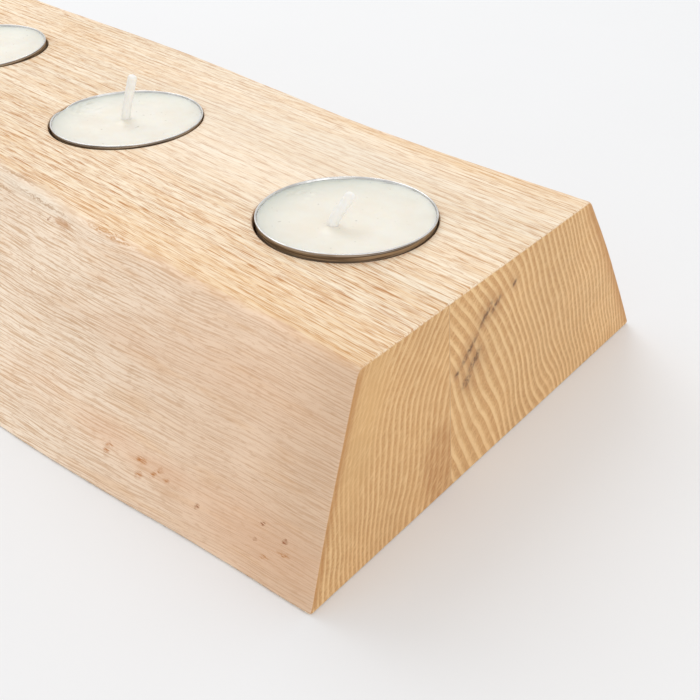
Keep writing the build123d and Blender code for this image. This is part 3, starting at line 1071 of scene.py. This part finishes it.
def wax_shape(number):
    """Uneven top of one pour: soft lumps, a collar up the wick, chips beside the wall and crumbs."""
    lump_height, fine_height, chip_depth, crumb_height = 0.2 * mm, 0.04 * mm, 0.5 * mm, 0.9 * mm
    lump_size, fine_size, crumb_size = 8 * mm, 1.8 * mm, 1.1 * mm
    crumb_place_share, wall_from_share, held_share = 0.9, 0.86, 0.2
    chips_round, chip_start, crumb_start, seed_step = 4, 0.2, 0.1, 3.7
    crumb_heading, crumb_reach = crumb_groups.get(number, (0, 0))
    crumb_middle = heading_vector(crumb_heading) * crumb_place_share * cup_radius
    top_margin = 0.1 * mm
    top_from = wax_centre - top_margin
    wick_spot = wick_exit(number)
    seed = seed_step * number

    def shape(angle, radius, height):
        if height < top_from:
            return radius, height
        spot = Vector((radius * math.cos(angle), radius * math.sin(angle), 0))
        lump = noise.noise(spot / lump_size + Vector((seed, 0, 0)))
        fine = noise.noise(spot / fine_size + Vector((0, seed, 0)))
        wall_share = radius / cup_radius
        chip_spot = Vector((math.cos(angle) * chips_round, math.sin(angle) * chips_round, seed))
        chip = max(noise.noise(chip_spot) - chip_start, 0)
        at_wall = max(wall_share - wall_from_share, 0) / (1 - wall_from_share)
        hold = min(1, (1 - wall_share) / held_share)
        collar = wick_creep * math.exp(-((spot.xy - wick_spot.xy).length / wick_creep_reach) ** 1.5)
        level = height + (lump_height * lump + fine_height * fine) * hold
        level += collar - chip_depth * chip * at_wall
        if crumb_reach:
            near_crumbs = math.exp(-((spot - crumb_middle).length / crumb_reach) ** 2)
            level += crumb_height * near_crumbs * max(noise.noise(spot / crumb_size) - crumb_start, 0)
        return radius, min(level, wax_edge)

    return shape


def wax_finish():
    """Clean white paraffin, slightly warm, that lets light sink in and has a dull gloss."""
    finish, tree, surface, at = new_finish("white_paraffin")
    cloud_size, speck_size, dimple_size = (7, 7), (0.8, 0.8), (1.3, 1.3)
    dimple_depth, light_reach = 0.05 * mm, 2.0 * mm
    cloud = between(tree, mottle(tree, at, cloud_size), 0.35, 0.7)
    tone = mix(tree, cloud, colour(241, 237, 226), colour(239, 232, 218))
    shaded = wire(tree, "ShaderNodeAttribute", {}, attribute_name="wall_shade").outputs["Fac"]
    # Painted shade: grey-green on the wax towards the far wall, for the rim's shadow and the metal reflected
    # there.
    tone = mix(tree, shaded, tone, colour(196, 201, 191))
    specks = between(tree, mottle(tree, at, speck_size, 0.0), 0.8, 0.86, 0.0, 0.5)
    tone = mix(tree, specks, tone, colour(176, 166, 150))
    tree.links.new(tone, surface.inputs["Base Color"])
    surface.inputs["Subsurface Weight"].default_value = 0.4
    surface.inputs["Subsurface Radius"].default_value = (1.0, 0.85, 0.65)
    surface.inputs["Subsurface Scale"].default_value = light_reach
    surface.inputs["Roughness"].default_value = 0.3
    surface.inputs["Specular IOR Level"].default_value = 0.4
    inputs = {"Strength": 0.12, "Distance": dimple_depth, "Height": mottle(tree, at, dimple_size, 3.0)}
    tree.links.new(wire(tree, "ShaderNodeBump", inputs).outputs[0], surface.inputs["Normal"])
    return finish


def wall_shade(place):
    """How much painted shade the wax gets, for the rim's shadow and the grey metal it mirrors: most near the
    wall, on its far side.
    """
    shaded_heading = 165
    near_wall = (place.xy.length / cup_radius) ** 4 if place.z > wax_centre - wax_dish else 0
    towards = place.xy.dot(heading_vector(shaded_heading).xy) / cup_radius
    return near_wall * (0.5 + 0.5 * towards)


paraffin = wax_finish()
for number in tealight_numbers:
    wax_mesh = lathe(f"wax_fill_{number}_paraffin", wax_outline(), wax_sides, wax_shape(number))
    paint(wax_mesh, "wall_shade", wall_shade)
    wax_mesh.transform(seating(number))
    wax_mesh.materials.append(paraffin)
    wax_mesh.shade_smooth()
    wax_mesh.set_sharp_from_angle(angle=crease_angle)
    wax = show(f"wax_fill_{number}_paraffin", wax_mesh)
    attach(wax, f"tealight_{number}")
    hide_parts(f"wax_fill_{number}")

# Wicks: braided cotton dipped in wax, crimped in the sustainer's neck and bent over a little above the wax.
# Each leans its own way, and the wax coat softens the strands and rounds the cut tip.
coated_radius = 1.18 * mm
strand_count = 3
strand_depth_share = 0.04
strand_twist = math.radians(70) / mm
wick_step = 0.3 * mm
tip_rounding = 0.9 * mm
tip_margin = 0.1 * mm
knee_rise = 0.9 * mm
wick_lump = 0.05 * mm
wick_lump_size = 1.6 * mm


def wick_route(number):
    """Centre line of one wick from its cup's foot: up through the wax, then bent towards its solid's tip."""
    bend_share, bend_steps = 0.25, 5
    middle = cup_place(number)
    foot = wick_foot(number)
    knee = wick_exit(number)
    knee.z = wax_centre + knee_rise
    points = np.array([v.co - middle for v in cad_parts[f"wick_{number}"].data.vertices])
    reach = np.linalg.norm(points - np.array(foot), axis=1)
    tip_ring = np.unique(points[reach > reach.max() - wick_radius].round(7), axis=0)
    tip = Vector(tip_ring.mean(axis=0))
    above_box = max((seating(number) @ tip).z + tip_margin - cad_box[1][2], 0)
    tip.z -= above_box
    corner = knee + Vector((0, 0, knee_rise))
    bend_end = corner + bend_share * (tip - corner)
    route = [foot, foot + Vector((0, 0, neck_top)), (foot + knee) / 2 + Vector((0, 0, neck_top / 2))]
    for step in range(bend_steps + 1):
        share = step / bend_steps
        route.append((1 - share) ** 2 * knee + 2 * share * (1 - share) * corner + share ** 2 * bend_end)
    route.append((bend_end + tip) / 2)
    route.append(tip)
    return [seating(number) @ point for point in route]


def wick_tree():
    """Tree that sweeps a twisted bundle of strands along a route and coats it unevenly."""
    inputs = {
        "Radius": "NodeSocketFloat",
        "Strand Depth": "NodeSocketFloat",
        "Twist": "NodeSocketFloat",
        "Step": "NodeSocketFloat",
        "Tip Rounding": "NodeSocketFloat",
        "Lump": "NodeSocketFloat",
        "Finish": "NodeSocketMaterial",
    }
    around_count, blunt_share, coat_start = 30, 0.04, 0.75
    tree, start, end = new_tree("wind_wick", inputs)
    resampled = wire(
        tree,
        "GeometryNodeResampleCurve",
        {"Curve": start.outputs["Geometry"], "Length": start.outputs["Step"]},
        mode="LENGTH",
    )
    along = wire(tree, "GeometryNodeSplineParameter", {}).outputs["Length"]
    turn = maths(tree, "MULTIPLY", along, start.outputs["Twist"])
    twisted = wire(tree, "GeometryNodeSetCurveTilt", {"Curve": resampled.outputs[0], "Tilt": turn})
    whole_length = wire(tree, "GeometryNodeSplineLength", {}).outputs["Length"]
    left = maths(tree, "DIVIDE", maths(tree, "SUBTRACT", whole_length, along), start.outputs["Tip Rounding"])
    inward = maths(tree, "SUBTRACT", 1.0, maths(tree, "MINIMUM", left, 1.0))
    inward_square = maths(tree, "MULTIPLY", inward, inward)
    round_share = maths(tree, "SQRT", maths(tree, "SUBTRACT", 1 + blunt_share, inward_square))
    circle = wire(
        tree,
        "GeometryNodeCurvePrimitiveCircle",
        {"Resolution": around_count, "Radius": start.outputs["Radius"]},
        mode="RADIUS",
    )
    spot = wire(tree, "GeometryNodeInputPosition", {}).outputs[0]
    parts = wire(tree, "ShaderNodeSeparateXYZ", {0: spot})
    angle = maths(tree, "ARCTAN2", parts.outputs[1], parts.outputs[0])
    wave = maths(tree, "COSINE", maths(tree, "MULTIPLY", angle, float(strand_count)))
    lobe = maths(tree, "MULTIPLY", maths(tree, "SUBTRACT", wave, 1.0), start.outputs["Strand Depth"])
    pull = scaled(tree, spot, lobe)
    bundle = wire(tree, "GeometryNodeSetPosition", {"Geometry": circle.outputs[0], "Offset": pull})
    swept = wire(
        tree,
        "GeometryNodeCurveToMesh",
        {
            "Curve": twisted.outputs[0],
            "Profile Curve": bundle.outputs[0],
            "Scale": round_share,
            "Fill Caps": True,
        },
    )
    bumps = wire(tree, "ShaderNodeTexNoise", {"Scale": 1 / wick_lump_size, "Detail": 1.0}).outputs[0]
    coat = maths(tree, "MULTIPLY", maths(tree, "SUBTRACT", bumps, coat_start), start.outputs["Lump"])
    facing = wire(tree, "GeometryNodeInputNormal", {}).outputs[0]
    shift = scaled(tree, facing, coat)
    coated = wire(tree, "GeometryNodeSetPosition", {"Geometry": swept.outputs[0], "Offset": shift})
    smooth = wire(tree, "GeometryNodeSetShadeSmooth", {"Geometry": coated.outputs[0]})
    whole = wire(tree, "GeometryNodeRealizeInstances", {"Geometry": smooth.outputs[0]})
    dressed = wire(
        tree,
        "GeometryNodeSetMaterial",
        {"Geometry": whole.outputs[0], "Material": start.outputs["Finish"]},
    )
    tree.links.new(dressed.outputs[0], end.inputs[0])
    return tree


def wick_finish():
    """Bleached cotton under a thin, half-clear coat of wax."""
    finish, tree, surface, at = new_finish("waxed_cotton")
    fibre_size, fuzz_size = (0.9, 0.9), (0.5, 0.5)
    fuzz_depth, light_reach = 0.05 * mm, 0.8 * mm
    tone = mix(tree, mottle(tree, at, fibre_size), colour(253, 252, 249), colour(244, 240, 233))
    tree.links.new(tone, surface.inputs["Base Color"])
    surface.inputs["Subsurface Weight"].default_value = 0.3
    surface.inputs["Subsurface Radius"].default_value = (1.0, 0.9, 0.75)
    surface.inputs["Subsurface Scale"].default_value = light_reach
    surface.inputs["Roughness"].default_value = 0.5
    inputs = {"Strength": 0.3, "Distance": fuzz_depth, "Height": mottle(tree, at, fuzz_size)}
    tree.links.new(wire(tree, "ShaderNodeBump", inputs).outputs[0], surface.inputs["Normal"])
    return finish


cotton = wick_finish()
wind = wick_tree()
wick_values = {
    "Radius": coated_radius,
    "Strand Depth": strand_depth_share / 2,
    "Twist": strand_twist,
    "Step": wick_step,
    "Tip Rounding": tip_rounding,
    "Lump": wick_lump,
    "Finish": cotton,
}
for number in tealight_numbers:
    route = bpy.data.curves.new(f"wick_{number}_route", "CURVE")
    route.dimensions = "3D"
    points = wick_route(number)
    spline = route.splines.new("POLY")
    spline.points.add(len(points) - 1)
    for point, spot in zip(spline.points, points):
        point.co = (*spot, 1)
    route_piece = show(f"wick_{number}_route", route)
    wick_mesh = grow(route_piece, wind, wick_values)
    bpy.data.objects.remove(route_piece)
    wick = show(f"wick_{number}_cotton", wick_mesh)
    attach(wick, f"tealight_{number}")
    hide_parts(f"wick_{number}")

# Studio floor: a seamless sheet of matt white paper under the block, much wider than the view, a hair below
# the underside so that the two faces don't share a plane.
floor_size = 6.0
floor_drop = 0.1 * mm
floor_mesh = bpy.data.meshes.new("paper_floor")
floor_corners = [(-1, -1), (1, -1), (1, 1), (-1, 1)]
floor_points = [(x * floor_size / 2, y * floor_size / 2, -floor_drop) for x, y in floor_corners]
floor_mesh.from_pydata(floor_points, [], [(0, 1, 2, 3)])
paper, tree, surface, at = new_finish("white_paper")
paper_cloud_size = (60, 60)
paper_tone = mix(tree, mottle(tree, at, paper_cloud_size), colour(239, 240, 242), colour(237, 238, 240))
tree.links.new(paper_tone, surface.inputs["Base Color"])
surface.inputs["Roughness"].default_value = 0.9
surface.inputs["Specular IOR Level"].default_value = 0.1
floor_mesh.materials.append(paper)
floor = show("paper_floor", floor_mesh)

# Soft studio light: a bright white room all round, one large window-like lamp high on the far left that gives
# the block a gentle shadow on the right, and a weak panel near the viewer that lifts the two sides in view.
room = bpy.data.worlds.new("white_room")
scene.world = room
room.use_nodes = True
room_light = room.node_tree.nodes["Background"]
room_light.inputs["Color"].default_value = (1.0, 0.995, 0.985, 1.0)
room_light.inputs["Strength"].default_value = 0.86
lamp_aim = Vector((0.05, 0, 0))


def soft_lamp(name, place, size, power):
    """Large round lamp aimed at the near half of the block."""
    lamp = bpy.data.lights.new(name, "AREA")
    lamp.shape = "DISK"
    lamp.size = size
    lamp.energy = power
    panel = bpy.data.objects.new(name, lamp)
    scene.collection.objects.link(panel)
    panel.location = place
    panel.rotation_euler = (lamp_aim - panel.location).to_track_quat("-Z", "Y").to_euler()


soft_lamp("soft_window", place=(-0.75, 0.3, 1.0), size=0.9, power=4.0)
soft_lamp("fill_panel", place=(0.95, -0.2, 0.4), size=0.8, power=1.3)

# Camera: close to the near end, looking down along the row as the photograph does. Its place and angles, and
# its focal length in pixels of a picture this wide, were fitted to the block's edges and the cups' rims.
camera_place = Vector((250.9, -132.1, 137.15)) * mm
view_azimuth = math.radians(45.23)
view_elevation = math.radians(34.45)
view_roll = math.radians(-0.74)
image_width = 700
focal_pixels = 1013.0
camera = bpy.data.cameras.new("camera")
camera.sensor_width = 36.0
camera.lens = focal_pixels / image_width * camera.sensor_width
camera.clip_start = 0.01
viewer = bpy.data.objects.new("camera", camera)
scene.collection.objects.link(viewer)
level_share = math.cos(view_elevation)
view_back = Vector((math.sin(view_azimuth) * level_share, -math.cos(view_azimuth) * level_share, 0))
view_back.z = math.sin(view_elevation)
viewer.location = camera_place
viewer.rotation_mode = "QUATERNION"
viewer.rotation_quaternion = (-view_back).to_track_quat("-Z", "Y") @ Quaternion((0, 0, 1), view_roll)
scene.camera = viewer
scene.view_settings.view_transform = "Standard"
